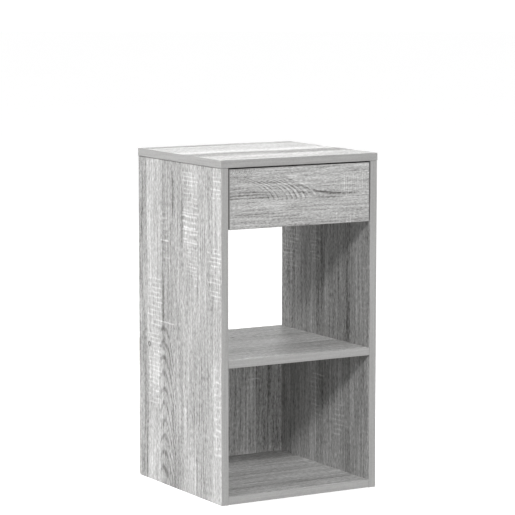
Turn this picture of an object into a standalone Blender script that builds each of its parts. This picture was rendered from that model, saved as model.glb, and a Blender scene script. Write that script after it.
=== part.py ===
"""Side table with one drawer, an open compartment and a lower compartment with a thin back.

Flat-pack furniture of 15 mm laminated particleboard, built in metres.
+X is to the right, -Y is the front, +Z is up. The origin is on the floor, under the middle
of the table's box.
"""
import math

import bmesh
import bpy
from mathutils import Matrix, Vector

# ---------------------------------------------------------------- driving dimensions (metres)
OVERALL_WIDTH = 0.345
OVERALL_DEPTH = 0.335
OVERALL_HEIGHT = 0.653
BOARD = 0.015
BACK_THICKNESS = 0.003
GAP = 0.0003                 # left between two pieces that touch
TOP_OVERHANG = 0.001         # of the top past each side panel
EDGE_ROUND = 0.0005
THIN_EDGE_ROUND = 0.0003

FLOOR_CLEARANCE = 0.001      # under the bottom panel; the side panels stand on the floor
LOWER_CLEAR = 0.245          # clear height of the lower compartment
MIDDLE_CLEAR = 0.246         # clear height of the open compartment
BACK_INSET = 0.0013          # of the back panel from the outer faces of the sides
BACK_FLOOR_CLEARANCE = 0.002

REVEAL = 0.0028              # visible gap around the drawer front
NOMINAL_LENGTH = 0.300       # of the runners and of the drawer box
RUNNER_SPACE = 0.0125        # between a cabinet side and a drawer side
DRAWER_BOARD = 0.012
DRAWER_SIDE_HEIGHT = 0.080
DRAWER_SIDE_LIFT = 0.012     # of the drawer box above the lower edge of the drawer front
DRAWER_PANEL = 0.003
GROOVE_DEPTH = 0.005
GROOVE_LIFT = 0.008

# ---------------------------------------------------------------- worked-out places
FRONT_Y = -OVERALL_DEPTH / 2
REAR_Y = OVERALL_DEPTH / 2 - BACK_THICKNESS - GAP
OUTER_X = OVERALL_WIDTH / 2 - TOP_OVERHANG
INNER_X = OUTER_X - BOARD
TOP_UNDERSIDE = OVERALL_HEIGHT - BOARD
FLOOR_TOP = FLOOR_CLEARANCE + BOARD
SHELF_UNDERSIDE = FLOOR_TOP + LOWER_CLEAR
SHELF_TOP = SHELF_UNDERSIDE + BOARD
DRAWER_FRONT_BOTTOM = SHELF_TOP + MIDDLE_CLEAR
DRAWER_FRONT_TOP = TOP_UNDERSIDE - REVEAL
DRAWER_FRONT_REAR_Y = FRONT_Y + BOARD

BOX_HALF_WIDTH = INNER_X - RUNNER_SPACE
BOX_INNER_X = BOX_HALF_WIDTH - DRAWER_BOARD
BOX_FRONT_Y = DRAWER_FRONT_REAR_Y + GAP
BOX_REAR_Y = BOX_FRONT_Y + NOMINAL_LENGTH
BOX_BOTTOM = DRAWER_FRONT_BOTTOM + DRAWER_SIDE_LIFT
BOX_TOP = BOX_BOTTOM + DRAWER_SIDE_HEIGHT
GROOVE_BOTTOM = BOX_BOTTOM + GROOVE_LIFT
GROOVE_TOP = GROOVE_BOTTOM + DRAWER_PANEL + 2 * GAP

# ---------------------------------------------------------------- cam locks and their bolts
CAM_RADIUS = 0.0074
CAM_POCKET_RADIUS = 0.0078
CAM_SETBACK = 0.024          # from the joint face to the cam's centre
CAM_HEIGHT = 0.0117          # in a 15 mm board
DRAWER_CAM_HEIGHT = 0.0096   # in a 12 mm board
CAM_NOTCH = 0.0032           # half width of the notch that grips the bolt's head
CAM_SIDES = 20
BOLT_SIDES = 12
BOLT_THREAD_RADIUS = 0.0024
BOLT_THREAD_LENGTH = 0.0107
BOLT_SHANK_RADIUS = 0.0035
BOLT_NECK_RADIUS = 0.0016
BOLT_HEAD_RADIUS = 0.0028
BOLT_BORE_RADIUS = 0.004
BOLT_BORE_LENGTH = CAM_SETBACK - 0.004   # ends inside the cam's pocket
THREAD_BORE_RADIUS = 0.0028
THREAD_BORE_DEPTH = 0.0111
CAM_FROM_FRONT = 0.037
CAM_FROM_REAR = 0.037
DRAWER_CAM_LIFT = 0.045      # above the bottom edge of the drawer side

# ---------------------------------------------------------------- roller runners
STEEL = 0.0012
RUNNER_BASE = BOX_BOTTOM - 0.0035
CHANNEL_HEIGHT = 0.020
CHANNEL_LOWER_REACH = 0.010
CHANNEL_UPPER_REACH = 0.009
CHANNEL_CUT_BACK = 0.024     # of the upper flange, which leaves room for the front roller
CHANNEL_FRONT_Y = DRAWER_FRONT_REAR_Y + 0.002
SLIDE_FRONT_Y = BOX_FRONT_Y + 0.001
SLIDE_LENGTH = 0.297
SLIDE_LOWER_REACH = 0.0235
SLIDE_UPPER_REACH = 0.003
SLIDE_BASE_LIFT = 0.002
SLIDE_TRACK_LIFT = 0.0213    # underside of the flange that rides on the front roller
ROLLER_RADIUS = 0.008
ROLLER_BORE_RADIUS = 0.0023
ROLLER_NEAR = 0.0036         # roller's two faces, from the board that its pin is fixed to
ROLLER_FAR = 0.0086
ROLLER_SIDES = 28
ROLLER_SETBACK = 0.012       # of a roller's pin from the end of its rail
FRONT_ROLLER_LIFT = 0.013
REAR_ROLLER_LIFT = 0.0095
PIN_RADIUS = 0.002
PIN_COLLAR_RADIUS = 0.0032
PIN_HEAD_RADIUS = 0.0035
PIN_HEAD_HEIGHT = 0.0007
PIN_SIDES = 12
SCREW_SHANK_RADIUS = 0.0016
SCREW_HEAD_RADIUS = 0.0033
SCREW_HEAD_TOP_RADIUS = 0.0026
SCREW_HEAD_HEIGHT = 0.0008
SCREW_BORE_RADIUS = 0.0020
SCREW_LENGTH = 0.013
SCREW_BORE_LENGTH = 0.0125
SCREW_SIDES = 12
RUNNER_SCREWS_Y = (0.055, 0.235)   # from the front end of a rail
SLIDE_SCREW_INSET = 0.0045         # from the outer face of the drawer side
RAIL_HOLE_DEPTH = 0.002
RAIL_CUT_REACH = 0.020

OVERCUT = 0.001              # that a cutter reaches past the face it opens on
SHARP_ANGLE = math.radians(35)
MERGE_DISTANCE = 1e-6

X_AXIS = Vector((1, 0, 0))
Y_AXIS = Vector((0, 1, 0))
Z_AXIS = Vector((0, 0, 1))
SIDES = (("left", -1), ("right", 1))


# ---------------------------------------------------------------- helpers
def clear_scene():
    """Remove every object that the file opens with."""
    for item in list(bpy.data.objects):
        bpy.data.objects.remove(item, do_unlink=True)


def principled(name, colour, roughness, metallic=0.0):
    """Make a plain Principled material."""
    material = bpy.data.materials.new(name)
    material.use_nodes = True
    shader = material.node_tree.nodes["Principled BSDF"]
    shader.inputs["Base Color"].default_value = (*colour, 1.0)
    shader.inputs["Roughness"].default_value = roughness
    shader.inputs["Metallic"].default_value = metallic
    material.diffuse_color = (*colour, 1.0)
    return material


def new_object(name, mesh, material=None, location=(0, 0, 0)):
    """Link an object that carries the mesh; a shared mesh keeps its first material slot."""
    item = bpy.data.objects.new(name, mesh)
    bpy.context.scene.collection.objects.link(item)
    item.location = location
    if material is not None:
        if not mesh.materials:
            mesh.materials.append(None)
        item.material_slots[0].link = "OBJECT"
        item.material_slots[0].material = material
    return item


def mesh_from(name, build):
    """Fill a mesh through a bmesh function and point its faces outwards."""
    shape = bmesh.new()
    build(shape)
    bmesh.ops.recalc_face_normals(shape, faces=shape.faces)
    mesh = bpy.data.meshes.new(name)
    shape.to_mesh(mesh)
    shape.free()
    return mesh


def add_block(shape, low, high):
    """Add a box between two corners."""
    low, high = Vector(low), Vector(high)
    size = high - low
    place = Matrix.Translation((low + high) / 2) @ Matrix.Diagonal((*size, 1.0))
    bmesh.ops.create_cube(shape, size=1.0, matrix=place)


def add_rod(shape, start, end, radius, sides):
    """Add a capped cylinder between two points."""
    start, end = Vector(start), Vector(end)
    along = end - start
    turn = along.to_track_quat("Z", "Y").to_matrix().to_4x4()
    bmesh.ops.create_cone(
        shape, cap_ends=True, segments=sides, radius1=radius, radius2=radius,
        depth=along.length, matrix=Matrix.Translation((start + end) / 2) @ turn)


def turned(name, profile, sides):
    """Spin a closed (radius, height) outline about +Z into a round piece."""
    def build(shape):
        on_axis = [point for point in profile if point[0] == 0.0]
        verts = [shape.verts.new((radius, 0.0, height)) for radius, height in profile]
        loop = list(zip(verts, verts[1:] + verts[:1]))
        edges = [shape.edges.new(pair) for pair in loop
                 if not (len(on_axis) == 2 and pair[0].co.x == 0.0 and pair[1].co.x == 0.0)]
        bmesh.ops.spin(
            shape, geom=verts + edges, axis=Z_AXIS, cent=(0, 0, 0), dvec=(0, 0, 0),
            angle=2 * math.pi, steps=sides, use_merge=True, use_duplicate=False)
        bmesh.ops.remove_doubles(shape, verts=shape.verts, dist=MERGE_DISTANCE)
    mesh = mesh_from(name, build)
    mesh.shade_smooth()
    mesh.set_sharp_from_angle(angle=SHARP_ANGLE)
    return mesh


def bevel_edges(item, width=EDGE_ROUND):
    """Ease the sharp edges of a board."""
    bevel = item.modifiers.new("eased_edges", "BEVEL")
    bevel.width = width
    bevel.segments = 2
    bevel.limit_method = "ANGLE"
    bevel.angle_limit = math.radians(40)


def cut(item, label, build):
    """Subtract a hidden wire-frame cutter from an object."""
    cutter = new_object(f"cutter_{item.name}_{label}", mesh_from(f"cutter_{label}", build))
    cutter.hide_render = True
    cutter.display_type = "WIRE"
    boolean = item.modifiers.new(label, "BOOLEAN")
    boolean.operation = "DIFFERENCE"
    boolean.solver = "EXACT"
    boolean.object = cutter


def attach(item, parent):
    """Parent an object without moving it."""
    item.parent = parent
    item.matrix_parent_inverse = parent.matrix_world.inverted()


def evaluated_copy(item, name):
    """Bake an object's modifiers into a mesh of their own and remove the object."""
    bpy.context.view_layer.update()
    graph = bpy.context.evaluated_depsgraph_get()
    mesh = bpy.data.meshes.new_from_object(item.evaluated_get(graph))
    mesh.name = name
    mesh.shade_smooth()
    mesh.set_sharp_from_angle(angle=SHARP_ANGLE)
    cutters = [modifier.object for modifier in item.modifiers if modifier.type == "BOOLEAN"]
    for used in cutters + [item]:
        bpy.data.objects.remove(used, do_unlink=True)
    return mesh


class Holes:
    """Collects the round holes of every board, then cuts them board by board."""

    def __init__(self):
        self.pockets = {}
        self.bores = {}

    def pocket(self, item, mouth, inward, depth):
        """A cam's blind pocket, whose mouth is on a face of the board."""
        start = mouth - inward * OVERCUT
        end = mouth + inward * depth
        self.pockets.setdefault(item, []).append((start, end, CAM_POCKET_RADIUS, CAM_SIDES))

    def bore(self, item, mouth, inward, depth, radius):
        """A thin hole, for a bolt, a screw or a pin."""
        start = mouth - inward * OVERCUT
        end = mouth + inward * depth
        self.bores.setdefault(item, []).append((start, end, radius, BOLT_SIDES))

    def cut_all(self):
        """Give each board one cutter of pockets and one of thin holes."""
        for label, groups in (("pockets", self.pockets), ("bores", self.bores)):
            for item, rods in groups.items():
                def build(shape, rods=rods):
                    for rod in rods:
                        add_rod(shape, *rod)
                cut(item, label, build)


def board(name, low, high, material):
    """A flat board between two corners, with its origin at its middle."""
    low, high = Vector(low), Vector(high)
    middle = (low + high) / 2
    mesh = mesh_from(name, lambda shape: add_block(shape, low - middle, high - middle))
    item = new_object(name, mesh, material, middle)
    bevel_edges(item)
    return item


# ---------------------------------------------------------------- cabinet
def build_cabinet(oak, back_print):
    """The six boards of the cabinet."""
    half_top = OVERALL_WIDTH / 2
    between = INNER_X - GAP
    parts = {
        "top": board("top_panel", (-half_top, FRONT_Y, TOP_UNDERSIDE),
                     (half_top, REAR_Y, OVERALL_HEIGHT), oak),
        "bottom": board("bottom_panel", (-between, FRONT_Y, FLOOR_CLEARANCE),
                        (between, REAR_Y, FLOOR_TOP), oak),
        "shelf": board("shelf", (-between, FRONT_Y, SHELF_UNDERSIDE),
                       (between, REAR_Y, SHELF_TOP), oak),
    }
    for name, sign in SIDES:
        near, far = sorted((sign * INNER_X, sign * OUTER_X))
        parts[name] = board(f"{name}_side_panel", (near, FRONT_Y, 0.0),
                            (far, REAR_Y, TOP_UNDERSIDE - GAP), oak)
    back_x = OUTER_X - BACK_INSET
    back = board("back_panel", (-back_x, REAR_Y + GAP, BACK_FLOOR_CLEARANCE),
                 (back_x, OVERALL_DEPTH / 2, SHELF_TOP), back_print)
    back.modifiers["eased_edges"].width = THIN_EDGE_ROUND
    return parts


# ---------------------------------------------------------------- drawer
def cut_groove(item, low, high):
    """The groove that holds the drawer's bottom panel."""
    cut(item, "groove", lambda shape: add_block(shape, low, high))


def build_drawer(oak, print_board, drawer_root):
    """Front, two sides, back and bottom of the drawer."""
    front_x = INNER_X - REVEAL
    groove_x = BOX_INNER_X + GROOVE_DEPTH
    parts = {
        "front": board("drawer_front", (-front_x, FRONT_Y, DRAWER_FRONT_BOTTOM),
                       (front_x, DRAWER_FRONT_REAR_Y, DRAWER_FRONT_TOP), oak),
        "back": board("drawer_back",
                      (-BOX_INNER_X + GAP, BOX_REAR_Y - DRAWER_BOARD, GROOVE_TOP),
                      (BOX_INNER_X - GAP, BOX_REAR_Y, BOX_TOP), print_board),
        "bottom": board("drawer_bottom",
                        (-groove_x + GAP, DRAWER_FRONT_REAR_Y - GROOVE_DEPTH + GAP,
                         GROOVE_BOTTOM + GAP),
                        (groove_x - GAP, BOX_REAR_Y, GROOVE_TOP - GAP), print_board),
    }
    parts["bottom"].modifiers["eased_edges"].width = GAP / 2
    cut_groove(parts["front"],
               (-groove_x, DRAWER_FRONT_REAR_Y - GROOVE_DEPTH, GROOVE_BOTTOM),
               (groove_x, DRAWER_FRONT_REAR_Y + OVERCUT, GROOVE_TOP))
    for name, sign in SIDES:
        near, far = sorted((sign * BOX_INNER_X, sign * BOX_HALF_WIDTH))
        side = board(f"drawer_{name}_side", (near, BOX_FRONT_Y, BOX_BOTTOM),
                     (far, BOX_REAR_Y, BOX_TOP), print_board)
        low_x, high_x = sorted((sign * (BOX_INNER_X - OVERCUT), sign * groove_x))
        cut_groove(side, (low_x, BOX_FRONT_Y - OVERCUT, GROOVE_BOTTOM),
                   (high_x, BOX_REAR_Y + OVERCUT, GROOVE_TOP))
        parts[name] = side
    for item in parts.values():
        attach(item, drawer_root)
    return parts


# ---------------------------------------------------------------- cam locks
def cam_mesh(name, height, axis_depth):
    """Cam housing: +Z is its driven face, -X is where the bolt comes in, z 0 is the bolt's axis."""
    top = axis_depth - GAP
    base = top - height
    slot_half_length, slot_half_width, slot_depth = 0.0045, 0.0009, 0.0012
    notch_end = 0.0012

    def build(shape):
        add_rod(shape, (0, 0, base), (0, 0, top), CAM_RADIUS, CAM_SIDES)

    blank = new_object(f"cutter_{name}_blank", mesh_from(name, build))
    cut(blank, "notch", lambda shape: add_block(
        shape, (-CAM_RADIUS - OVERCUT, -CAM_NOTCH, -CAM_NOTCH), (notch_end, CAM_NOTCH, CAM_NOTCH)))
    cut(blank, "slot", lambda shape: add_block(
        shape, (-slot_half_length, -slot_half_width, top - slot_depth),
        (slot_half_length, slot_half_width, top + OVERCUT)))
    return evaluated_copy(blank, name)


def bolt_mesh():
    """Cam bolt along +Z: z 0 is the joint face and the thread is below it."""
    shank_end = CAM_SETBACK - CAM_RADIUS - 2 * GAP
    head_start, head_end = 0.0205, 0.0242
    profile = [
        (0.0, -BOLT_THREAD_LENGTH), (BOLT_THREAD_RADIUS, -BOLT_THREAD_LENGTH),
        (BOLT_THREAD_RADIUS, GAP), (BOLT_SHANK_RADIUS, GAP), (BOLT_SHANK_RADIUS, shank_end),
        (BOLT_NECK_RADIUS, shank_end), (BOLT_NECK_RADIUS, head_start),
        (BOLT_HEAD_RADIUS, head_start), (BOLT_HEAD_RADIUS, head_end), (0.0, head_end)]
    return turned("cam_bolt", profile, BOLT_SIDES)


class CamJoints:
    """Places a cam lock and its bolt at each joint and notes the holes that they need."""

    def __init__(self, holes, zinc, steel):
        self.holes = holes
        self.zinc = zinc
        self.steel = steel
        self.cams = {BOARD: cam_mesh("cam", CAM_HEIGHT, BOARD / 2),
                     DRAWER_BOARD: cam_mesh("small_cam", DRAWER_CAM_HEIGHT, DRAWER_BOARD / 2)}
        self.bolt = bolt_mesh()

    def place(self, label, receiver, carrier, face_point, along, opening, thickness):
        """Join receiver to carrier at face_point; the cam opens towards opening."""
        centre = face_point + along * CAM_SETBACK
        cross = opening.cross(along)
        frame = Matrix((along, cross, opening)).transposed().to_4x4()
        cam = new_object(f"cam_{label}", self.cams[thickness], self.zinc)
        cam.matrix_world = Matrix.Translation(centre) @ frame
        bolt = new_object(f"cam_bolt_{label}", self.bolt, self.steel)
        turn = along.to_track_quat("Z", "Y").to_matrix().to_4x4()
        bolt.matrix_world = Matrix.Translation(face_point) @ turn
        height = CAM_HEIGHT if thickness == BOARD else DRAWER_CAM_HEIGHT
        self.holes.pocket(carrier, centre + opening * thickness / 2, -opening,
                          height + 2 * GAP)
        self.holes.bore(carrier, face_point, along, BOLT_BORE_LENGTH, BOLT_BORE_RADIUS)
        self.holes.bore(receiver, face_point, -along, THREAD_BORE_DEPTH, THREAD_BORE_RADIUS)
        return cam, bolt


def join_cabinet(joints, cabinet):
    """Twelve cam locks: four each for the bottom panel, the shelf and the top."""
    stations = (("front", FRONT_Y + CAM_FROM_FRONT), ("rear", REAR_Y - CAM_FROM_REAR))
    levels = (("bottom", (FLOOR_CLEARANCE + FLOOR_TOP) / 2),
              ("shelf", (SHELF_UNDERSIDE + SHELF_TOP) / 2))
    for side, sign in SIDES:
        for station, y in stations:
            for level, z in levels:
                joints.place(f"{level}_{side}_{station}", cabinet[side], cabinet[level],
                             Vector((sign * INNER_X, y, z)), -sign * X_AXIS, -Z_AXIS, BOARD)
            joints.place(f"top_{side}_{station}", cabinet["top"], cabinet[side],
                         Vector((sign * (INNER_X + OUTER_X) / 2, y, TOP_UNDERSIDE)),
                         -Z_AXIS, -sign * X_AXIS, BOARD)


def join_drawer_front(joints, drawer, drawer_root):
    """One cam lock on the inside of each drawer side holds the drawer front."""
    for side, sign in SIDES:
        middle_x = sign * (BOX_HALF_WIDTH + BOX_INNER_X) / 2
        face = Vector((middle_x, DRAWER_FRONT_REAR_Y, BOX_BOTTOM + DRAWER_CAM_LIFT))
        pieces = joints.place(f"drawer_{side}", drawer["front"], drawer[side], face, Y_AXIS,
                              -sign * X_AXIS, DRAWER_BOARD)
        for piece in pieces:
            attach(piece, drawer_root)


# ---------------------------------------------------------------- runners
def rail(name, outline, sign, front_y, length, steel):
    """Extrude a rail's outline along +Y; outline is (distance from the cabinet side, z)."""
    def build(shape):
        corners = [(sign * (INNER_X - reach), front_y, height) for reach, height in outline]
        face = shape.faces.new([shape.verts.new(corner) for corner in corners])
        swept = bmesh.ops.extrude_face_region(shape, geom=[face])
        moved = [part for part in swept["geom"] if isinstance(part, bmesh.types.BMVert)]
        bmesh.ops.translate(shape, verts=moved, vec=Vector((0, length, 0)))
    return new_object(name, mesh_from(name, build), steel)


def channel_outline():
    """C section that is screwed to the cabinet side; the drawer's rear roller runs in it."""
    near, far = GAP, GAP + STEEL
    low, high = RUNNER_BASE, RUNNER_BASE + CHANNEL_HEIGHT
    return [(near, low), (CHANNEL_LOWER_REACH, low), (CHANNEL_LOWER_REACH, low + STEEL),
            (far, low + STEEL), (far, high - STEEL), (CHANNEL_UPPER_REACH, high - STEEL),
            (CHANNEL_UPPER_REACH, high), (near, high)]


def slide_outline():
    """Z section under the drawer side; its upper flange rides on the front roller."""
    near, far = RUNNER_SPACE - GAP - STEEL, RUNNER_SPACE - GAP
    base = RUNNER_BASE + SLIDE_BASE_LIFT
    track = RUNNER_BASE + SLIDE_TRACK_LIFT
    return [(near, base), (SLIDE_LOWER_REACH, base), (SLIDE_LOWER_REACH, base + STEEL),
            (far, base + STEEL), (far, track + STEEL), (SLIDE_UPPER_REACH, track + STEEL),
            (SLIDE_UPPER_REACH, track), (near, track)]


def pin_mesh():
    """Rivet along +Z, from the face of the board that it is fixed to."""
    collar_start, collar_end = GAP + STEEL + GAP, ROLLER_NEAR - GAP
    head_start, head_end = ROLLER_FAR + GAP, ROLLER_FAR + GAP + PIN_HEAD_HEIGHT
    collar, head = PIN_COLLAR_RADIUS, PIN_HEAD_RADIUS
    profile = [(0.0, GAP), (PIN_RADIUS, GAP), (PIN_RADIUS, collar_start),
               (collar, collar_start), (collar, collar_end), (PIN_RADIUS, collar_end),
               (PIN_RADIUS, head_start), (head, head_start), (head, head_end), (0.0, head_end)]
    return turned("roller_pin", profile, PIN_SIDES)


def roller_mesh():
    """Plastic wheel centred on its own origin, turning about Z."""
    half = (ROLLER_FAR - ROLLER_NEAR) / 2
    ease = 0.0006
    profile = [(ROLLER_BORE_RADIUS, -half), (ROLLER_RADIUS - ease, -half),
               (ROLLER_RADIUS, -half + ease), (ROLLER_RADIUS, half - ease),
               (ROLLER_RADIUS - ease, half), (ROLLER_BORE_RADIUS, half)]
    return turned("roller", profile, ROLLER_SIDES)


def screw_mesh(grip):
    """Pan-head screw along +Z: z 0 is the board's face, the head stands on a plate of grip."""
    tip = 0.0022
    head_start = grip + GAP
    profile = [(0.0, -SCREW_LENGTH + grip), (SCREW_SHANK_RADIUS, -SCREW_LENGTH + grip + tip),
               (SCREW_SHANK_RADIUS, head_start), (SCREW_HEAD_RADIUS, head_start),
               (SCREW_HEAD_TOP_RADIUS, head_start + SCREW_HEAD_HEIGHT),
               (0.0, head_start + SCREW_HEAD_HEIGHT)]
    return turned("runner_screw", profile, SCREW_SIDES)


def facing(point, direction):
    """World matrix of a turned piece: its +Z along direction, its origin at point."""
    return Matrix.Translation(point) @ direction.to_track_quat("Z", "Y").to_matrix().to_4x4()


def build_runners(holes, cabinet, drawer, drawer_root, steel, zinc, nylon):
    """Channel, slide, rollers, pins and screws on both sides."""
    pin, roller, screw = pin_mesh(), roller_mesh(), screw_mesh(GAP + STEEL)
    roller_middle = (ROLLER_NEAR + ROLLER_FAR) / 2
    front_roller_y = CHANNEL_FRONT_Y + ROLLER_SETBACK
    rear_roller_y = SLIDE_FRONT_Y + SLIDE_LENGTH - ROLLER_SETBACK
    for side, sign in SIDES:
        inward = -sign * X_AXIS
        cabinet_face = sign * INNER_X
        drawer_face = sign * BOX_HALF_WIDTH

        channel = rail(f"cabinet_runner_{side}", channel_outline(), sign, CHANNEL_FRONT_Y,
                       NOMINAL_LENGTH, steel)
        near, far = sorted((sign * (INNER_X - GAP - STEEL), sign * (INNER_X - RAIL_CUT_REACH)))
        low = (near, CHANNEL_FRONT_Y - OVERCUT, RUNNER_BASE + STEEL * 2)
        high = (far, CHANNEL_FRONT_Y + CHANNEL_CUT_BACK, RUNNER_BASE + CHANNEL_HEIGHT + OVERCUT)
        cut(channel, "cut_back", lambda shape, low=low, high=high: add_block(shape, low, high))
        slide = rail(f"drawer_runner_{side}", slide_outline(), sign, SLIDE_FRONT_Y,
                     SLIDE_LENGTH, steel)
        attach(slide, drawer_root)

        front_z = RUNNER_BASE + FRONT_ROLLER_LIFT
        front_pin = new_object(f"front_roller_pin_{side}", pin, zinc)
        front_pin.matrix_world = facing((cabinet_face, front_roller_y, front_z), inward)
        front_roller = new_object(f"front_roller_{side}", roller, nylon)
        front_roller.matrix_world = facing(
            (cabinet_face - sign * roller_middle, front_roller_y, front_z), inward)
        holes.bore(channel, Vector((cabinet_face, front_roller_y, front_z)), inward, RAIL_HOLE_DEPTH,
                   ROLLER_BORE_RADIUS)

        rear_z = RUNNER_BASE + REAR_ROLLER_LIFT
        rear_pin = new_object(f"rear_roller_pin_{side}", pin, zinc)
        rear_pin.matrix_world = facing((drawer_face, rear_roller_y, rear_z), -inward)
        rear_roller = new_object(f"rear_roller_{side}", roller, nylon)
        rear_roller.matrix_world = facing(
            (drawer_face + sign * roller_middle, rear_roller_y, rear_z), -inward)
        holes.bore(slide, Vector((drawer_face, rear_roller_y, rear_z)), -inward,
                   RAIL_HOLE_DEPTH, ROLLER_BORE_RADIUS)
        for piece in (rear_pin, rear_roller):
            attach(piece, drawer_root)

        for station, offset in zip(("front", "rear"), RUNNER_SCREWS_Y):
            channel_point = Vector((cabinet_face, CHANNEL_FRONT_Y + offset,
                                    RUNNER_BASE + CHANNEL_HEIGHT / 2))
            channel_screw = new_object(f"cabinet_runner_screw_{side}_{station}", screw, zinc)
            channel_screw.matrix_world = facing(channel_point, inward)
            holes.bore(channel, channel_point, inward, RAIL_HOLE_DEPTH, SCREW_BORE_RADIUS)
            holes.bore(cabinet[side], channel_point, -inward, SCREW_BORE_LENGTH,
                       SCREW_BORE_RADIUS)

            slide_point = Vector((drawer_face - sign * SLIDE_SCREW_INSET,
                                  SLIDE_FRONT_Y + offset, BOX_BOTTOM))
            slide_screw = new_object(f"drawer_runner_screw_{side}_{station}", screw, zinc)
            slide_screw.matrix_world = facing(slide_point, -Z_AXIS)
            attach(slide_screw, drawer_root)
            holes.bore(slide, slide_point, -Z_AXIS, RAIL_HOLE_DEPTH, SCREW_BORE_RADIUS)
            holes.bore(drawer[side], slide_point, Z_AXIS, SCREW_BORE_LENGTH,
                       SCREW_BORE_RADIUS)


# ---------------------------------------------------------------- assembly
def main():
    """Build the whole table."""
    clear_scene()
    oak = principled("grey_oak_board", (0.52, 0.51, 0.50), 0.5)
    back_print = principled("grey_oak_back", (0.42, 0.41, 0.40), 0.55)
    drawer_print = principled("grey_drawer_board", (0.50, 0.49, 0.48), 0.55)
    white_steel = principled("coated_steel", (0.80, 0.80, 0.79), 0.4)
    zinc = principled("zinc", (0.55, 0.55, 0.56), 0.35, 0.9)
    bolt_steel = principled("bolt_steel", (0.50, 0.50, 0.50), 0.3, 1.0)
    nylon = principled("white_nylon", (0.85, 0.85, 0.83), 0.45)

    drawer_root = bpy.data.objects.new("drawer_slide_axis", None)
    drawer_root.location = (0.0, FRONT_Y, BOX_BOTTOM)
    bpy.context.scene.collection.objects.link(drawer_root)
    bpy.context.view_layer.update()

    holes = Holes()
    cabinet = build_cabinet(oak, back_print)
    drawer = build_drawer(oak, drawer_print, drawer_root)
    joints = CamJoints(holes, zinc, bolt_steel)
    join_cabinet(joints, cabinet)
    join_drawer_front(joints, drawer, drawer_root)
    build_runners(holes, cabinet, drawer, drawer_root, white_steel, zinc, nylon)
    holes.cut_all()


main()
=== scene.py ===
"""Looks of the side table: printed oak boards, coated rails, zinc fittings and studio light.

Everything is in metres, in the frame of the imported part: +X right, -Y front, +Z up.
"""

import math

import bmesh
import bpy
from mathutils import Matrix, Vector


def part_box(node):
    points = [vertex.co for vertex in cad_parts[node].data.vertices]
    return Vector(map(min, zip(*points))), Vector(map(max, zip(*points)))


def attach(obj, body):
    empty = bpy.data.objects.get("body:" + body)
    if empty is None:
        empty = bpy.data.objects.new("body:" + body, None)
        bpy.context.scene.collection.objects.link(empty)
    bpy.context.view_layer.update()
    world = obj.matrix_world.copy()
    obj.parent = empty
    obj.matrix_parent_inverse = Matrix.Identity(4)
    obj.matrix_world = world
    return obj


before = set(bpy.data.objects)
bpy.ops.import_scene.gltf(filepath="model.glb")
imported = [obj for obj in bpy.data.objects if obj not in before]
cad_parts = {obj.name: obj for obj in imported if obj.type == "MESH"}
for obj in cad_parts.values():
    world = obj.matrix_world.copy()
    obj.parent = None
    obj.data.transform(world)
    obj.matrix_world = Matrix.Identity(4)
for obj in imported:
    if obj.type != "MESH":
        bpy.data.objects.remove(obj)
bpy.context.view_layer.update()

# ---------------------------------------------------------------- camera
CAMERA_PLACE = (-2.4483, -4.2177, 1.0574)
CAMERA_HEADING = 30.17       # degrees to the right of straight on
CAMERA_PITCH = 7.18          # degrees below the horizon
CAMERA_LENS = 176.1          # millimetres, on a 36 mm sensor

# ---------------------------------------------------------------- printed board
OAK_COLOURS = [(0.0, (0.085, 0.082, 0.078)), (0.5, (0.428, 0.426, 0.421)), (1.0, (0.800, 0.798, 0.794))]
PRINT_TONE = 0.47            # mean of the printed faces, as a place on the scale above
BAND_TONE = 0.382            # of the plain edge bands
GLUE_LINE = 0.0006           # between a printed face and its edge band
RIM_SHADE_TONE = -0.07             # painted shade on the face just inside its glue line
THIN_SKIN = 0.0006           # depth of the printed face of the back sheet
PRINT_ROUGHNESS = 0.46
ROUGHNESS_SPREAD = 0.20
PRINT_RELIEF = 0.00012
OTHER_FACE_SHIFT = 0.11      # along the grain, of the print on a board's second face
OTHER_FACE_SEED = 4.7
BACK_SEED = 7.0              # of the print on the back sheet

# The raw pressed fibre behind the back sheet; cells are of noise per metre.
RAW_COLOURS = [(0.35, (0.235, 0.200, 0.165)), (0.50, (0.330, 0.290, 0.245)),
               (0.65, (0.420, 0.375, 0.325))]
RAW_ROUGHNESS = 0.75
RAW_CELLS = 260.0
BLOTCH_CELLS = 11.0

# Cells of noise per metre along and across the grain.
DRIFT_CELLS = (3.0, 9.0)
CLOUD_CELLS = (1.6, 14.0)
FIBRE_CELLS = (5.5, 160.0)
FLECK_CELLS = (110.0, 330.0)
PORE_CELLS = (42.0, 640.0)
STRAND_CELLS = (22.0, 420.0)
BAND_CELLS = (9.0, 420.0)
BAND_SPECK_CELLS = 380.0
MARK_WOBBLE_CELLS = (30.0, 40.0)
FLAME_WARP_CELLS = (14.0, 50.0)

# How far each kind of noise moves the tone, and how far the grain wanders in metres.
DRIFT = 0.012
CLOUD = 0.28
FIBRE = 1.50
FLECK = 1.18
PORE = 0.16
BAND_FIBRE = 0.30
BAND_SPECK = 0.14

# The drawn features. Pairs are along and across the grain, in metres.
MARK_WOBBLE = 0.6            # of a saw mark, as a share of the pitch
MARK_WIDTH = 0.30            # the same
MARK_FAINTEST = 0.25         # as a share of the strongest
MARK_RAGGED = (0.04, 0.03)   # how far the edges of a ladder wander
MARK_INSET = (0.010, 0.006)
MARK_SOFT = (0.018, 0.008)
LINE_WOBBLE_CELLS = 60.0
LINE_WOBBLE = 0.002
LINE_WIDTH = 0.0024
LINE_SOFT = 0.006
FLAME_WARP = 1.1             # as a share of the pitch
FLAME_TIP_SOFT = 0.03
FLAME_SIDE_SOFT = 0.22       # as a share of the flame's width
KNOT_RING = -0.5             # change of tone
KNOT_EYE = 0.35
STREAK_LEAST = 0.45          # strength between the strands of a streak
STREAK_STRANDS = 0.9         # what the strands add to it

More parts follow.
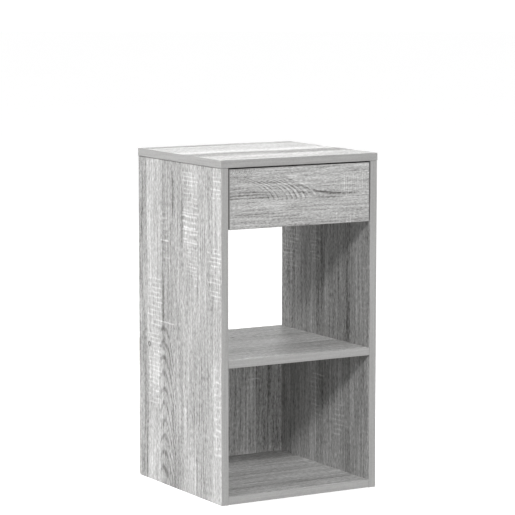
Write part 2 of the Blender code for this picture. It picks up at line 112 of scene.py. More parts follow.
# ---------------------------------------------------------------- small fasteners
NAIL_INSET = 0.0075          # from the outer face of a side panel
NAIL_HEIGHTS = (0.035, 0.090, 0.145, 0.200, 0.245)
NAIL_PLACES = (-0.115, -0.040, 0.040, 0.115)
NAIL_CROWN = 0.0002          # how far a head stands proud of the sheet
DRAWER_SCREW_LEVELS = (("low", 0.25), ("high", 0.78))   # share of the drawer back's height

# Outlines as (radius, height), turned about the axis; the head is at the top.
NAIL_OUTLINE = [(0.0, -0.0160), (0.0006, -0.0140), (0.0006, -0.0004), (0.0022, -0.0004),
                (0.0022, 0.0), (0.0012, NAIL_CROWN), (0.0, NAIL_CROWN)]
SCREW_OUTLINE = [(0.0, -0.0300), (0.0014, -0.0270), (0.0014, -0.0024), (0.0034, -0.0002),
                 (0.0034, 0.0001), (0.0010, 0.0002), (0.0006, -0.0012), (0.0, -0.0012)]
OUTLINE_STEPS = 16
SHARP_ANGLE = 35             # degrees, past which an edge isn't smoothed

# ---------------------------------------------------------------- other finishes
# Dark and light colour, least and most roughness, metallic, cells of noise per metre, relief.
COATED = ((0.70, 0.70, 0.69), (0.82, 0.82, 0.81)), (0.28, 0.42), 0.0, 900.0, 0.00004
PLATED = ((0.50, 0.50, 0.51), (0.68, 0.68, 0.69)), (0.24, 0.40), 1.0, 1500.0, 0.00003
CAST = ((0.38, 0.38, 0.39), (0.56, 0.56, 0.57)), (0.40, 0.58), 0.9, 1100.0, 0.00008
STEEL = ((0.44, 0.44, 0.44), (0.62, 0.62, 0.61)), (0.22, 0.36), 1.0, 1500.0, 0.00003
NYLON = ((0.72, 0.72, 0.70), (0.86, 0.86, 0.84)), (0.32, 0.48), 0.0, 800.0, 0.00003

# ---------------------------------------------------------------- studio
AMBIENT = 0.40
KEY_DIRECTION = (0.35, 1.0, -0.8)
KEY_SPREAD = 0.17            # radians
KEY_STRENGTH = 2.24
STUDIO_RADIUS = 25.0
FLOOR_LOOK = (0.35, 0.80)    # glow and whiteness
BACKDROP_LOOK = (1.0, 0.5)
AREA_LIGHTS = (              # name, place, target, size, power
    ("left_fill", (-3.4, 0.35, 0.45), (0.0, 0.0, 0.33), 1.4, 103.0),
    ("front_fill", (-0.6, -4.0, 0.25), (0.0, 0.0, 0.15), 1.2, 34.0),
    ("overhead", (-0.3, 0.0, 3.0), (0.0, 0.0, 0.65), 1.0, 48.0),
    ("right_fill", (3.4, 0.2, 0.5), (0.0, 0.0, 0.33), 1.4, 50.0),
    ("rear_sheen", (2.4, 4.2, 1.75), (0.0, 0.0, 0.65), 1.1, 7.0))


class Wire:
    """A number inside a node tree. Arithmetic on it adds Math nodes."""

    def __init__(self, tree, socket):
        self.tree = tree
        self.socket = socket

    def math(self, operation, *others):
        """Add one Math node fed by this wire and by wires or plain numbers."""
        node = self.tree.nodes.new("ShaderNodeMath")
        node.operation = operation
        for place, value in enumerate((self, *others)):
            plug(self.tree, node.inputs[place], value)
        return Wire(self.tree, node.outputs[0])

    def __add__(self, other):
        return self.math("ADD", other)

    def __sub__(self, other):
        return self.math("SUBTRACT", other)

    def __mul__(self, other):
        return self.math("MULTIPLY", other)

    def __truediv__(self, other):
        return self.math("DIVIDE", other)

    def rev(self):
        """One minus this value."""
        return self.math("MULTIPLY_ADD", -1.0, 1.0)

    def step(self, start, end):
        """0 before start, 1 after end, smooth between; end may lie before start."""
        node = self.tree.nodes.new("ShaderNodeMapRange")
        node.interpolation_type = "SMOOTHSTEP"
        if end < start:
            start, end = end, start
            node.inputs["To Min"].default_value = 1.0
            node.inputs["To Max"].default_value = 0.0
        plug(self.tree, node.inputs["Value"], self)
        node.inputs["From Min"].default_value = start
        node.inputs["From Max"].default_value = end
        return Wire(self.tree, node.outputs["Result"])

    def span(self, low, high, soft):
        """1 between low and high, fading to 0 over soft outside them."""
        middle, half = (low + high) / 2, (high - low) / 2
        return (self - middle).math("ABSOLUTE").step(half + soft, half)


def plug(tree, socket, value):
    """Feed a socket from a wire or with a plain number."""
    if isinstance(value, Wire):
        tree.links.new(value.socket, socket)
    else:
        socket.default_value = value


class Surface:
    """A material being built around its own object coordinates."""

    def __init__(self, name, metallic=0.0):
        self.material = bpy.data.materials.new(name)
        self.material.use_nodes = True
        self.tree = self.material.node_tree
        self.shader = self.tree.nodes["Principled BSDF"]
        self.shader.inputs["Metallic"].default_value = metallic
        self.place = self.tree.nodes.new("ShaderNodeTexCoord").outputs["Object"]
        split = self.tree.nodes.new("ShaderNodeSeparateXYZ")
        self.tree.links.new(self.place, split.inputs[0])
        self.x, self.y, self.z = (Wire(self.tree, out) for out in split.outputs)

    def noise(self, x, y, z, detail=2.0, rough=0.5):
        """Perlin noise of three wires or numbers, about 0 to 1."""
        join = self.tree.nodes.new("ShaderNodeCombineXYZ")
        for place, value in enumerate((x, y, z)):
            plug(self.tree, join.inputs[place], value)
        node = self.tree.nodes.new("ShaderNodeTexNoise")
        node.inputs["Scale"].default_value = 1.0
        node.inputs["Detail"].default_value = detail
        node.inputs["Roughness"].default_value = rough
        self.tree.links.new(join.outputs[0], node.inputs["Vector"])
        return Wire(self.tree, node.outputs["Fac"])

    def ramp(self, value, stops, interpolation="LINEAR"):
        """Colour ramp of a wire; stops are (position, colour)."""
        node = self.tree.nodes.new("ShaderNodeValToRGB")
        node.color_ramp.interpolation = interpolation
        for _ in stops[2:]:
            node.color_ramp.elements.new(1.0)
        for element, (position, colour) in zip(node.color_ramp.elements, stops):
            element.position = position
            element.color = (*colour, 1.0)
        plug(self.tree, node.inputs[0], value)
        return Wire(self.tree, node.outputs[0])

    def blend(self, share, first, second):
        """Mix of two numbers: first where share is 0, second where it is 1."""
        node = self.tree.nodes.new("ShaderNodeMix")
        for socket, value in zip((node.inputs[0], node.inputs[2], node.inputs[3]),
                                 (share, first, second)):
            plug(self.tree, socket, value)
        return Wire(self.tree, node.outputs[0])

    def blend_colours(self, share, first, second):
        """Mix of two colour wires: first where share is 0, second where it is 1."""
        node = self.tree.nodes.new("ShaderNodeMix")
        node.data_type = "RGBA"
        for socket, value in zip((node.inputs[0], node.inputs[6], node.inputs[7]),
                                 (share, first, second)):
            plug(self.tree, socket, value)
        return Wire(self.tree, node.outputs[2])

    def finish(self, colour, roughness, height, depth):
        """Connect colour, roughness and a bump of the given depth in metres."""
        plug(self.tree, self.shader.inputs["Base Color"], colour)
        plug(self.tree, self.shader.inputs["Roughness"], roughness)
        bump = self.tree.nodes.new("ShaderNodeBump")
        bump.inputs["Strength"].default_value = 1.0
        bump.inputs["Distance"].default_value = depth
        plug(self.tree, bump.inputs["Height"], height)
        self.tree.links.new(bump.outputs[0], self.shader.inputs["Normal"])
        return self.material


# ---------------------------------------------------------------- printed oak
def staves(surface, across, width, tones):
    """Tone steps of glued staves; tones is (start across the grain, change of tone)."""
    stops = [(start / width, (0.5 + tone,) * 3) for start, tone in tones]
    return surface.ramp(across / width, stops, "CONSTANT") - 0.5


def streak(along, across, place, width, low, high, strength):
    """A long soft streak along the grain."""
    fade = (high - low) * 0.3
    shape = across.span(place, place, width)
    return shape * along.span(low + fade, high - fade, fade) * strength


def patch(along, across, low, high, first, last, soft, strength):
    """A broad lighter or darker area; the figures also use it for painted light and shade."""
    return across.span(low, high, soft) * along.span(first, last, soft) * strength


def ladder(surface, along, across, seed, low, high, first, last, pitch, strength):
    """Saw marks: short light lines across the grain, uneven in reach and strength."""
    wobble = surface.noise(across * MARK_WOBBLE_CELLS[1], along * MARK_WOBBLE_CELLS[0], seed, 1.0)
    turn = (along + wobble * (pitch * MARK_WOBBLE)) / pitch
    line = turn.math("FRACT").span(0.5, 0.5, MARK_WIDTH)
    # Each line's number picks its own stretch of noise.
    number = turn.math("FLOOR")
    reach = surface.noise(number * 7.7, across * 28.0, seed + 3.1, 1.0).step(0.40, 0.56)
    edge = surface.noise(number * 3.3, seed, across * 9.0, 0.0) - 0.5
    side = (across + edge * MARK_RAGGED[1]).span(low + MARK_INSET[1], high - MARK_INSET[1],
                                                 MARK_SOFT[1])
    run = (along + edge * MARK_RAGGED[0]).span(first + MARK_INSET[0], last - MARK_INSET[0],
                                               MARK_SOFT[0])
    return line * (side * run) * (reach * (1.0 - MARK_FAINTEST) + MARK_FAINTEST) * strength


def saw_line(surface, along, across, seed, place, low, high, strength):
    """One strong saw line across the grain."""
    wobble = surface.noise(across * LINE_WOBBLE_CELLS, seed, 0.0, 1.0) - 0.5
    line = (along + wobble * LINE_WOBBLE).span(place, place, LINE_WIDTH)
    return line * across.span(low, high, LINE_SOFT) * strength


def flame(surface, along, across, seed, middle, bend, first, last, low, high, pitch, strength):
    """Nested arches of a flame figure; bend says how fast they fall away from the middle."""
    warp = surface.noise(along * FLAME_WARP_CELLS[0], across * FLAME_WARP_CELLS[1], seed, 2.0) - 0.5
    side = across - middle
    rise = along - side * side * bend + warp * (pitch * FLAME_WARP)
    ring = (rise / pitch).math("FRACT").math("PINGPONG", 0.5) * 2.0
    arch = ring.step(0.45, 0.9) * rise.span(first, last, FLAME_TIP_SOFT)
    return arch * across.span(low, high, (high - low) * FLAME_SIDE_SOFT) * strength


def sweep(along, across, start, reach, level, rise, width, strength):
    """A curved line that starts at level - rise across the grain and settles at level."""
    left = ((along - start) / reach).rev().math("MAXIMUM", 0.0).math("MINIMUM", 1.2)
    line = across + left * left * left * rise
    shape = line.span(level, level, width)
    return shape * along.span(start, start + reach * 0.8, reach * 0.25) * strength


def knot(along, across, place, middle, size):
    """A small dark knot with a lighter eye."""
    run, side = along - place, across - middle
    far = (run * run + side * side).math("SQRT")
    ring, eye = far.step(size, size * 0.5), far.step(size * 0.5, size * 0.2)
    return ring * KNOT_RING + eye * KNOT_EYE


def features(surface, along, across, width, figure):
    """All the drawn features of a board, as a change of tone."""
    tone = staves(surface, across, width, figure["staves"])
    for item in figure.get("patches", ()):
        tone = tone + patch(along, across, *item)
    for number, item in enumerate(figure.get("ladders", ())):
        tone = tone + ladder(surface, along, across, 1.7 * number, *item)
    for number, item in enumerate(figure.get("lines", ())):
        tone = tone + saw_line(surface, along, across, 2.3 * number, *item)
    strands = surface.noise(along * STRAND_CELLS[0], across * STRAND_CELLS[1], 2.2, 2.0, 0.7)
    broken = strands.step(0.36, 0.62) * STREAK_STRANDS + STREAK_LEAST
    for item in figure.get("streaks", ()):
        tone = tone + streak(along, across, *item) * broken
    for number, item in enumerate(figure.get("flames", ())):
        tone = tone + flame(surface, along, across, 3.0 + number, *item)
    for item in figure.get("sweeps", ()):
        tone = tone + sweep(along, across, *item) * broken
    for item in figure.get("knots", ()):
        tone = tone + knot(along, across, *item)
    return tone


def oak_grain(surface, along, across, seed, contrast=1.0, fineness=1.0):
    """The grain that every printed face has, as a change of tone about 0."""
    def cells(run, side, scale, shift, *kind):
        return surface.noise(run * scale[0], side * scale[1], seed + shift, *kind)

    lane = across + (cells(along, across, DRIFT_CELLS, 0.0, 1.0) - 0.5) * DRIFT
    cloud = cells(along, lane, CLOUD_CELLS, 5.0, 2.0) - 0.5
    run, side = along * fineness, lane * fineness
    fibre = cells(run, side, FIBRE_CELLS, 9.0, 4.0, 0.80) - 0.5
    fleck = cells(run, side, FLECK_CELLS, 4.0, 2.0, 0.65) - 0.5
    pore = cells(run, side, PORE_CELLS, 7.0, 2.0, 0.6).step(0.55, 0.66)
    tone = cloud * CLOUD + (fibre * FIBRE + fleck * FLECK - pore * PORE) * contrast
    return tone, fibre, pore


def within(surface, name, skip, shrink):
    """1 where a point is more than shrink inside the board's box, but for the skipped axes."""
    low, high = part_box(name)
    share = None
    for axis, wire in enumerate((surface.x, surface.y, surface.z)):
        if axis in skip:
            continue
        middle = (low[axis] + high[axis]) / 2
        half = (high[axis] - low[axis]) / 2 - shrink
        part = (wire - middle).math("ABSOLUTE").math("LESS_THAN", half)
        share = part if share is None else share * part
    return share


def edge_band(surface, name, thin, grain, seed):
    """Tone of the plain edge band, with a faint grain that runs along each edge."""
    wide = 3 - thin - grain
    wires = (surface.x, surface.y, surface.z)
    runs = []
    for long_axis in (grain, wide):
        scaled = [wire * (BAND_CELLS[0] if axis == long_axis else BAND_CELLS[1])
                  for axis, wire in enumerate(wires)]
        scaled[0] = scaled[0] + seed
        runs.append(surface.noise(*scaled, 4.0, 0.7) - 0.5)
    speck = surface.noise(*[wire * BAND_SPECK_CELLS for wire in wires], 1.0) - 0.5
    ends = within(surface, name, (thin, wide), GLUE_LINE).rev()
    return surface.blend(ends, *runs) * BAND_FIBRE + speck * BAND_SPECK + BAND_TONE


def printed_board(name, thin, grain, figure, seed, start, turned):
    """Material of one board: printed broad faces, plain edge bands and glue lines, with painted shade
    on each face just inside its glue line.

    thin and grain are axes. start is where the figure's two distances begin, as
    ((place, sense) along the grain, (place, sense) across it). The figure is drawn on the
    face on the low side of the board, or on the high side if turned; the other face has it
    mirrored and shifted.
    """
    surface = Surface(f"oak_{name}")
    low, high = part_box(name)
    wires = (surface.x, surface.y, surface.z)
    wide = 3 - thin - grain
    width = high[wide] - low[wide]
    other = wires[thin].math("LESS_THAN" if turned else "GREATER_THAN",
                             (low[thin] + high[thin]) / 2)
    along, across = ((wires[axis] - place) * sense
                     for axis, (place, sense) in zip((grain, wide), start))
    across = surface.blend(other, across, across.math("MULTIPLY_ADD", -1.0, width))
    along = along + other * OTHER_FACE_SHIFT
    tone, fibre, pore = oak_grain(surface, along, across, other * OTHER_FACE_SEED + seed,
                                  figure.get("contrast", 1.0), figure.get("fineness", 1.0))
    tone = tone + features(surface, along, across, width, figure) + PRINT_TONE
    face = within(surface, name, (thin,), GLUE_LINE * 0.5)
    # painted shade: each printed face is darkened in a thin rim just inside its glue line
    rim_shade = within(surface, name, (thin,), GLUE_LINE * 2.0).rev() * face
    band = edge_band(surface, name, thin, grain, seed) + figure.get("band", 0.0)
    colour = surface.ramp(surface.blend(face, band, tone) + rim_shade * RIM_SHADE_TONE, OAK_COLOURS)
    return surface.finish(colour, fibre * ROUGHNESS_SPREAD + PRINT_ROUGHNESS,
                          fibre * 0.8 - pore * face, PRINT_RELIEF)


# What is drawn on each board, in metres along and across the grain from its start, and in
# changes of tone. The order of the numbers is that of the function that draws them, and
# contrast and fineness are of the grain between them.
PLAIN_FIGURE = {
    "staves": [(0.0, 0.02), (0.071, -0.05), (0.118, 0.05), (0.190, -0.02), (0.262, 0.03)],
    "ladders": [(0.020, 0.065, 0.060, 0.140, 0.0090, 0.14), (0.120, 0.185, 0.200, 0.290, 0.0080, 0.12)],
    "flames": [(0.230, 50.0, 0.10, 0.24, 0.195, 0.260, 0.024, -0.12)],
}
SIDE_FIGURE = {
    "staves": [(0.0, -0.09), (0.033, 0.08), (0.095, -0.06), (0.181, 0.02), (0.240, -0.03),
               (0.297, 0.04)],
    "ladders": [
        (0.037, 0.095, 0.235, 0.335, 0.0090, 0.26), (0.040, 0.092, 0.335, 0.490, 0.0080, 0.20),
        (0.095, 0.122, 0.105, 0.225, 0.0110, 0.20), (0.182, 0.240, 0.015, 0.090, 0.0080, 0.25),
        (0.182, 0.240, 0.085, 0.152, 0.0110, 0.36), (0.195, 0.240, 0.155, 0.222, 0.0070, 0.25),
        (0.292, 0.332, 0.000, 0.062, 0.0080, 0.28), (0.285, 0.332, 0.150, 0.250, 0.0080, 0.28),
        (0.306, 0.328, 0.385, 0.560, 0.0115, 0.24)],
    "lines": [(0.157, 0.095, 0.122, 0.30), (0.317, 0.095, 0.142, 0.30),
              (0.095, 0.182, 0.240, 0.26), (0.127, 0.182, 0.240, 0.26),
              (0.151, 0.190, 0.240, 0.26)],
    "streaks": [
        (0.016, 0.006, 0.000, 0.140, -0.18), (0.012, 0.008, 0.080, 0.180, -0.22),
        (0.101, 0.008, 0.000, 0.400, -0.14), (0.141, 0.006, 0.010, 0.120, -0.20),
        (0.178, 0.005, 0.030, 0.190, -0.18), (0.240, 0.004, 0.190, 0.270, -0.18),
        (0.291, 0.005, 0.110, 0.200, -0.16), (0.034, 0.016, 0.420, 0.700, -0.12),
        (0.236, 0.006, 0.500, 0.700, -0.12), (0.160, 0.006, 0.250, 0.350, -0.14),
        (0.214, 0.026, -0.05, 0.230, 0.07), (0.228, 0.006, 0.270, 0.340, -0.14),
        (0.054, 0.008, 0.000, 0.300, 0.06), (0.322, 0.010, 0.000, 0.260, 0.05),
        (0.004, 0.007, 0.360, 0.700, 0.14)],
    # The first patch is a painted shadow: a dark line along the top of the side, under the top's
    # overhang.
    "patches": [(-0.10, 0.50, -0.10, 0.0008, 0.0010, -0.34), (-0.10, 0.50, 0.450, 0.80, 0.080, 0.03)],
    "flames": [(0.103, 46.0, 0.33, 0.62, 0.096, 0.170, 0.031, -0.22)],
    "knots": [(0.368, 0.043, 0.007)],
}
RIGHT_FIGURE = {
    "staves": [(0.0, 0.05), (0.070, -0.08), (0.096, 0.01), (0.165, -0.08), (0.196, 0.05),
               (0.222, 0.01), (0.276, -0.07)],
    "ladders": [(0.262, 0.330, 0.165, 0.240, 0.0080, 0.20), (0.186, 0.218, 0.150, 0.225, 0.0070, 0.24),
                (0.095, 0.135, 0.470, 0.560, 0.0100, 0.20), (0.170, 0.216, 0.430, 0.530, 0.0090, 0.16),
                (0.010, 0.036, 0.190, 0.330, 0.0110, 0.14)],
    "lines": [(0.443, 0.168, 0.205, 0.18), (0.506, 0.186, 0.206, 0.14), (0.531, 0.080, 0.104, 0.14)],
    "streaks": [
        (0.040, 0.024, 0.100, 0.400, 0.06), (0.080, 0.010, 0.080, 0.480, -0.12),
        (0.176, 0.007, 0.150, 0.330, -0.22), (0.190, 0.006, 0.240, 0.320, -0.20),
        (0.175, 0.006, 0.420, 0.540, -0.22), (0.190, 0.004, 0.440, 0.540, -0.16),
        (0.214, 0.003, 0.420, 0.640, 0.16), (0.198, 0.003, 0.460, 0.640, 0.11),
        (0.282, 0.006, 0.430, 0.640, -0.14)],
    # Both patches are painted light and shade: the upper part is darkened, and the lower rear part is
    # lightened.
    "patches": [(-0.10, 0.50, -0.10, 0.350, 0.050, -0.09), (0.100, 0.50, 0.400, 0.80, 0.060, 0.07)],
}
TOP_FIGURE = {
    "contrast": 1.2,
    "staves": [(0.0, 0.02), (0.010, -0.18), (0.034, 0.02), (0.143, 0.19), (0.183, -0.17),
               (0.247, 0.07)],
    "ladders": [(0.040, 0.120, 0.020, 0.080, 0.0100, 0.10), (0.255, 0.320, 0.190, 0.260, 0.0120, 0.08)],
    "streaks": [
        (0.215, 0.012, -0.10, 0.060, -0.14), (0.222, 0.010, 0.110, 0.260, -0.10),
        (0.090, 0.006, 0.020, 0.160, -0.08), (0.275, 0.010, 0.060, 0.280, 0.08),
        (0.300, 0.006, -0.05, 0.200, -0.07), (0.318, 0.005, 0.120, 0.360, -0.10),
        (0.160, 0.010, -0.10, 0.170, 0.10), (0.292, 0.040, 0.190, 0.500, -0.09)],
    "band": -0.012,
    "flames": [(0.248, 40.0, 0.16, 0.30, 0.185, 0.246, 0.030, -0.08)],
}
DRAWER_FIGURE = {
    "contrast": 0.90,
    "fineness": 1.5,
    "staves": [(0.0, 0.01), (0.034, -0.01), (0.0585, 0.03), (0.084, 0.01), (0.100, -0.01)],
    "ladders": [(0.018, 0.058, 0.240, 0.310, 0.0052, 0.22), (0.094, 0.114, 0.225, 0.285, 0.0080, 0.18)],
    "streaks": [
        (0.038, 0.0030, -0.04, 0.066, -0.22), (0.0445, 0.0025, -0.04, 0.086, -0.26),
        (0.050, 0.0030, -0.04, 0.086, -0.26), (0.0560, 0.0030, -0.04, 0.100, -0.28),
        (0.027, 0.0040, 0.040, 0.125, -0.10), (0.086, 0.0030, -0.05, 0.130, -0.15),
        (0.093, 0.0025, 0.060, 0.160, -0.13), (0.018, 0.0060, 0.115, 0.160, 0.14),
        (0.012, 0.0060, 0.150, 0.260, 0.06), (0.066, 0.0035, 0.060, 0.220, 0.08),
        (0.072, 0.0030, 0.000, 0.260, 0.06), (0.077, 0.0020, 0.140, 0.230, -0.10),
        (0.104, 0.0030, 0.020, 0.130, -0.08), (0.030, 0.0030, 0.150, 0.210, -0.13),
        (0.109, 0.0050, 0.110, 0.320, -0.08)],
    "flames": [(0.060, -40.0, 0.100, 0.158, 0.024, 0.058, 0.0100, -0.24),
               (0.060, -40.0, 0.108, 0.182, 0.022, 0.056, 0.0120, 0.18),
               (0.000, -50.0, -0.020, 0.045, 0.002, 0.032, 0.0050, -0.16)],
    "sweeps": [(0.140, 0.150, 0.0560, 0.026, 0.0044, -0.34),
               (0.134, 0.130, 0.0500, 0.024, 0.0030, 0.10),
               (0.128, 0.110, 0.0610, 0.028, 0.0030, -0.14)],
}
BACK_FIGURE = {
    "staves": [(0.0, 0.02), (0.080, -0.04), (0.150, 0.03), (0.200, 0.05), (0.267, -0.09)],
    "ladders": [(0.243, 0.272, 0.020, 0.130, 0.0120, 0.14)],
    "lines": [(0.030, 0.243, 0.266, 0.34), (0.079, 0.246, 0.281, 0.38), (0.106, 0.252, 0.272, 0.28)],
    "streaks": [
        (0.247, 0.003, 0.080, 0.300, 0.26), (0.238, 0.004, 0.060, 0.300, 0.16),
        (0.257, 0.003, 0.060, 0.300, 0.18), (0.265, 0.003, 0.060, 0.300, 0.20),
        (0.274, 0.010, -0.05, 0.090, -0.16), (0.294, 0.004, 0.000, 0.100, -0.12)],
}
FLOOR_FIGURE = {
    "staves": [(0.0, 0.01), (0.048, -0.06), (0.070, 0.03), (0.092, 0.06), (0.118, -0.03),
               (0.134, 0.03), (0.152, -0.05), (0.186, 0.0), (0.262, -0.03)],
    # The second patch is painted shade: a darker strip along the rear of the floor.
    "patches": [(0.080, 0.200, -0.10, 0.50, 0.050, 0.06), (0.285, 0.40, -0.10, 0.50, 0.030, -0.08)],
    "ladders": [(0.190, 0.260, 0.060, 0.150, 0.0100, 0.10)],
    "streaks": [
        (0.157, 0.004, -0.10, 0.250, -0.24), (0.179, 0.003, 0.060, 0.280, -0.12),
        (0.127, 0.006, -0.10, 0.200, -0.14), (0.058, 0.005, -0.10, 0.220, -0.16),
        (0.053, 0.004, 0.150, 0.400, -0.14), (0.104, 0.008, 0.050, 0.330, 0.08)],
    "sweeps": [(0.250, 0.080, -0.050, -0.018, 0.0050, -0.22)],
}


# ---------------------------------------------------------------- other finishes
def hardboard(name):
    """Back sheet: the print on its inner face, raw pressed fibre on its back and edges."""
    surface = Surface(name)
    low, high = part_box("back_panel")
    left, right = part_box("left_side_panel")[0][0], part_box("right_side_panel")[1][0]
    along, across = surface.z.math("MULTIPLY_ADD", -1.0, high[2]), surface.x - left
    tone, fibre, pore = oak_grain(surface, along, across, BACK_SEED)
    tone = tone + features(surface, along, across, right - left, BACK_FIGURE) + PRINT_TONE
    printed = surface.ramp(tone, OAK_COLOURS)
    wires = (surface.x, surface.y, surface.z)
    pressed = surface.noise(*[wire * RAW_CELLS for wire in wires], 4.0, 0.7)
    blotch = surface.noise(*[wire * BLOTCH_CELLS for wire in wires], 2.0)
    raw = surface.ramp(pressed * 0.7 + blotch * 0.3, RAW_COLOURS)
    inner = surface.y.math("LESS_THAN", low[1] + THIN_SKIN)
    colour = surface.blend_colours(inner, raw, printed)
    roughness = surface.blend(inner, RAW_ROUGHNESS, fibre * ROUGHNESS_SPREAD + PRINT_ROUGHNESS)
    relief = surface.blend(inner, pressed, fibre * 0.8 - pore)
    return surface.finish(colour, roughness, relief, PRINT_RELIEF)


def grained(name, colours, roughness, metallic, scale, depth):
    """A cast, plated, coated or moulded finish: cloudy colour, uneven gloss, fine relief."""
    surface = Surface(name, metallic)
    wires = (surface.x, surface.y, surface.z)
    fine = surface.noise(*[wire * scale for wire in wires], 4.0, 0.65)
    cloud = surface.noise(*[wire * (scale * 0.12) for wire in wires], 2.0)
    colour = surface.ramp(fine * 0.45 + cloud * 0.55, [(0.3, colours[0]), (0.7, colours[1])])
    low, high = roughness
    return surface.finish(colour, cloud.step(0.3, 0.7) * (high - low) + low, fine, depth)


# ---------------------------------------------------------------- small fasteners
def round_piece(name, profile, place, direction, body, material):
    """Spin a (radius, height) outline about its axis and set it at a place, facing direction."""
    shape = bmesh.new()
    verts = [shape.verts.new((radius, 0.0, height)) for radius, height in profile]
    edges = [shape.edges.new(pair) for pair in zip(verts, verts[1:])]
    bmesh.ops.spin(shape, geom=verts + edges, axis=(0, 0, 1), cent=(0, 0, 0), dvec=(0, 0, 0),
                   angle=2 * math.pi, steps=OUTLINE_STEPS, use_merge=True, use_duplicate=False)
    bmesh.ops.remove_doubles(shape, verts=shape.verts, dist=1e-6)
    bmesh.ops.recalc_face_normals(shape, faces=shape.faces)
    mesh = bpy.data.meshes.new(name)
    shape.to_mesh(mesh)
    shape.free()
    mesh.shade_smooth()
    mesh.set_sharp_from_angle(angle=math.radians(SHARP_ANGLE))
    mesh.materials.append(material)
    piece = bpy.data.objects.new(name, mesh)
    turn = Vector(direction).to_track_quat("Z", "Y").to_matrix().to_4x4()
    piece.matrix_world = Matrix.Translation(Vector(place)) @ turn
    bpy.context.scene.collection.objects.link(piece)
    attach(piece, body)


def add_nails(material):
    """Flat-headed nails that hold the back sheet to the sides, the shelf and the bottom."""
    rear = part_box("back_panel")[1][1]
    side_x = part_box("left_side_panel")[0][0] + NAIL_INSET
    rows = [(sign * abs(side_x), height) for sign in (-1, 1) for height in NAIL_HEIGHTS]
    for panel in ("bottom_panel", "shelf"):
        base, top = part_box(panel)
        rows += [(x, (base[2] + top[2]) / 2) for x in NAIL_PLACES]
    for number, (x, z) in enumerate(rows, 1):
        round_piece(f"back_nail_{number:02d}", NAIL_OUTLINE, (x, rear, z), (0, 1, 0),
                    "cabinet", material)


def add_drawer_screws(material):
    """Countersunk screws that hold the drawer's back between its sides."""
    low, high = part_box("drawer_back")
    for side, sign in (("left", -1), ("right", 1)):
        outer = max(abs(corner[0]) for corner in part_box(f"drawer_{side}_side"))
        for level, share in DRAWER_SCREW_LEVELS:
            place = (sign * outer, (low[1] + high[1]) / 2, low[2] + (high[2] - low[2]) * share)
            round_piece(f"drawer_back_screw_{side}_{level}", SCREW_OUTLINE, place,
                        (sign, 0, 0), "drawer", material)


# ---------------------------------------------------------------- camera and studio
def build_camera():
    """The view from the front left, a little above the top."""
    data = bpy.data.cameras.new("camera")
    data.lens = CAMERA_LENS
    data.sensor_width = 36.0
    camera = bpy.data.objects.new("camera", data)
    camera.location = CAMERA_PLACE
    camera.rotation_euler = (math.radians(90.0 - CAMERA_PITCH), 0.0, math.radians(-CAMERA_HEADING))
    bpy.context.scene.collection.objects.link(camera)
    bpy.context.scene.camera = camera


def area_light(name, place, target, size, power):
    """A square soft light aimed at a point."""
    data = bpy.data.lights.new(name, "AREA")
    data.shape = "SQUARE"
    data.size = size
    data.energy = power
    light = bpy.data.objects.new(name, data)
    light.location = place
    aim = Vector(target) - Vector(place)
    light.rotation_mode = "QUATERNION"
    light.rotation_quaternion = aim.to_track_quat("-Z", "Y")
    bpy.context.scene.collection.objects.link(light)


def key_light(direction, spread, strength):
    """The distant softbox; direction is the way its light travels."""
    data = bpy.data.lights.new("key", "SUN")
    data.angle = spread
    data.energy = strength
    light = bpy.data.objects.new("key", data)
    light.rotation_mode = "QUATERNION"
    light.rotation_quaternion = Vector(direction).to_track_quat("-Z", "Y")
    bpy.context.scene.collection.objects.link(light)


def stage_piece(name, build, look):
    """A pale piece of the studio; it glows by itself and sends no light to the table."""
    glow, white = look
    shape = bmesh.new()
    build(shape)
    mesh = bpy.data.meshes.new(name)
    shape.to_mesh(mesh)
    shape.free()
    piece = bpy.data.objects.new(name, mesh)
    bpy.context.scene.collection.objects.link(piece)
    pale = Surface(f"{name}_white")
    cloud = pale.noise(pale.x * 0.8, pale.y * 0.8, 0.0)
    colour = pale.ramp(cloud, [(0.0, (white * 0.98,) * 3), (1.0, (white,) * 3)])
    mesh.materials.append(pale.finish(colour, 0.9, cloud, 0.0001))
    pale.shader.inputs["Emission Color"].default_value = (1.0, 1.0, 1.0, 1.0)
    pale.shader.inputs["Emission Strength"].default_value = glow
    piece.visible_diffuse = False
    piece.visible_glossy = False
    return piece


def build_studio():
    """White floor and backdrop, a dim even surrounding and the soft lights."""
    world = bpy.data.worlds.new("studio")
    world.use_nodes = True
    background = world.node_tree.nodes["Background"]
    background.inputs["Color"].default_value = (1.0, 1.0, 1.0, 1.0)
    background.inputs["Strength"].default_value = AMBIENT
    bpy.context.scene.world = world
    bpy.context.scene.view_settings.view_transform = "Standard"
    stage_piece("floor", lambda shape: bmesh.ops.create_circle(
        shape, cap_ends=True, segments=96, radius=STUDIO_RADIUS), FLOOR_LOOK)
    backdrop = stage_piece("backdrop", lambda shape: bmesh.ops.create_uvsphere(
        shape, u_segments=64, v_segments=32, radius=STUDIO_RADIUS), BACKDROP_LOOK)
    backdrop.visible_shadow = False
    key_light(KEY_DIRECTION, KEY_SPREAD, KEY_STRENGTH)
    for light in AREA_LIGHTS:
        area_light(*light)


def set_material(name, material):
    """Give a CAD node one material."""
    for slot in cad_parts[name].material_slots:
        slot.material = material


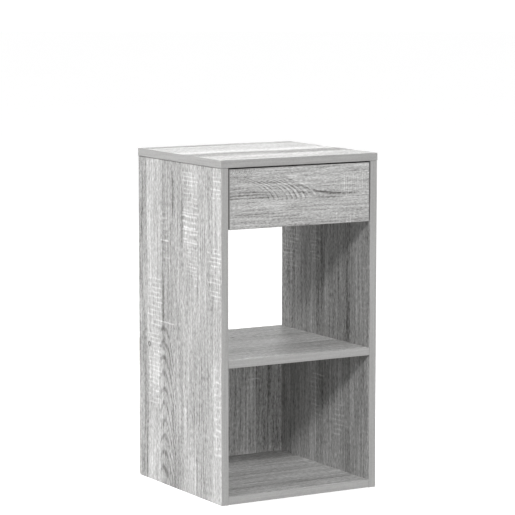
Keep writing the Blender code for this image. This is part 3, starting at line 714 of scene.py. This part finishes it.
def dress_boards():
    """Give each board its own print."""
    side_low, side_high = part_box("left_side_panel")
    drawer_low, drawer_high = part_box("drawer_front")
    left, front, rear = (side_low[0], 1.0), (side_low[1], 1.0), (side_high[1], -1.0)
    down = (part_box("top_panel")[0][2], -1.0)
    drawer_start = ((drawer_low[0], 1.0), (drawer_high[2], -1.0))
    boards = (
        ("left_side_panel", 0, 2, SIDE_FIGURE, 1.0, (down, rear), False),
        ("right_side_panel", 0, 2, RIGHT_FIGURE, 2.0, (down, front), False),
        ("top_panel", 2, 0, TOP_FIGURE, 3.0, (left, rear), True),
        ("bottom_panel", 2, 0, FLOOR_FIGURE, 4.0, (left, front), True),
        ("shelf", 2, 0, PLAIN_FIGURE, 5.0, (left, front), True),
        ("drawer_front", 1, 0, DRAWER_FIGURE, 6.0, drawer_start, False),
        ("drawer_left_side", 0, 1, PLAIN_FIGURE, 8.0, (front, down), False),
        ("drawer_right_side", 0, 1, PLAIN_FIGURE, 9.0, (front, down), False),
        ("drawer_back", 1, 0, PLAIN_FIGURE, 10.0, (left, down), False),
        ("drawer_bottom", 2, 0, PLAIN_FIGURE, 11.0, (left, front), True))
    for name, thin, grain, figure, seed, start, turned in boards:
        set_material(name, printed_board(name, thin, grain, figure, seed, start, turned))
    set_material("back_panel", hardboard("back_sheet"))


def dress_fittings():
    """Coated rails, plated screws and pins, cast cams, steel bolts and nylon rollers."""
    coated = grained("coated_steel", *COATED)
    plated = grained("zinc_plate", *PLATED)
    cast = grained("zinc_casting", *CAST)
    steel = grained("bolt_steel", *STEEL)
    nylon = grained("nylon", *NYLON)
    finishes = (("roller_pin", plated), ("runner_screw", plated), ("cam_bolt", steel),
                ("cam_", cast), ("runner", coated), ("roller", nylon))
    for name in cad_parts:
        for word, material in finishes:
            if word in name:
                set_material(name, material)
                break
    add_nails(plated)
    add_drawer_screws(plated)


def main():
    """Dress every CAD node, add the small fasteners, the camera and the studio."""
    dress_boards()
    dress_fittings()
    build_camera()
    build_studio()


main()
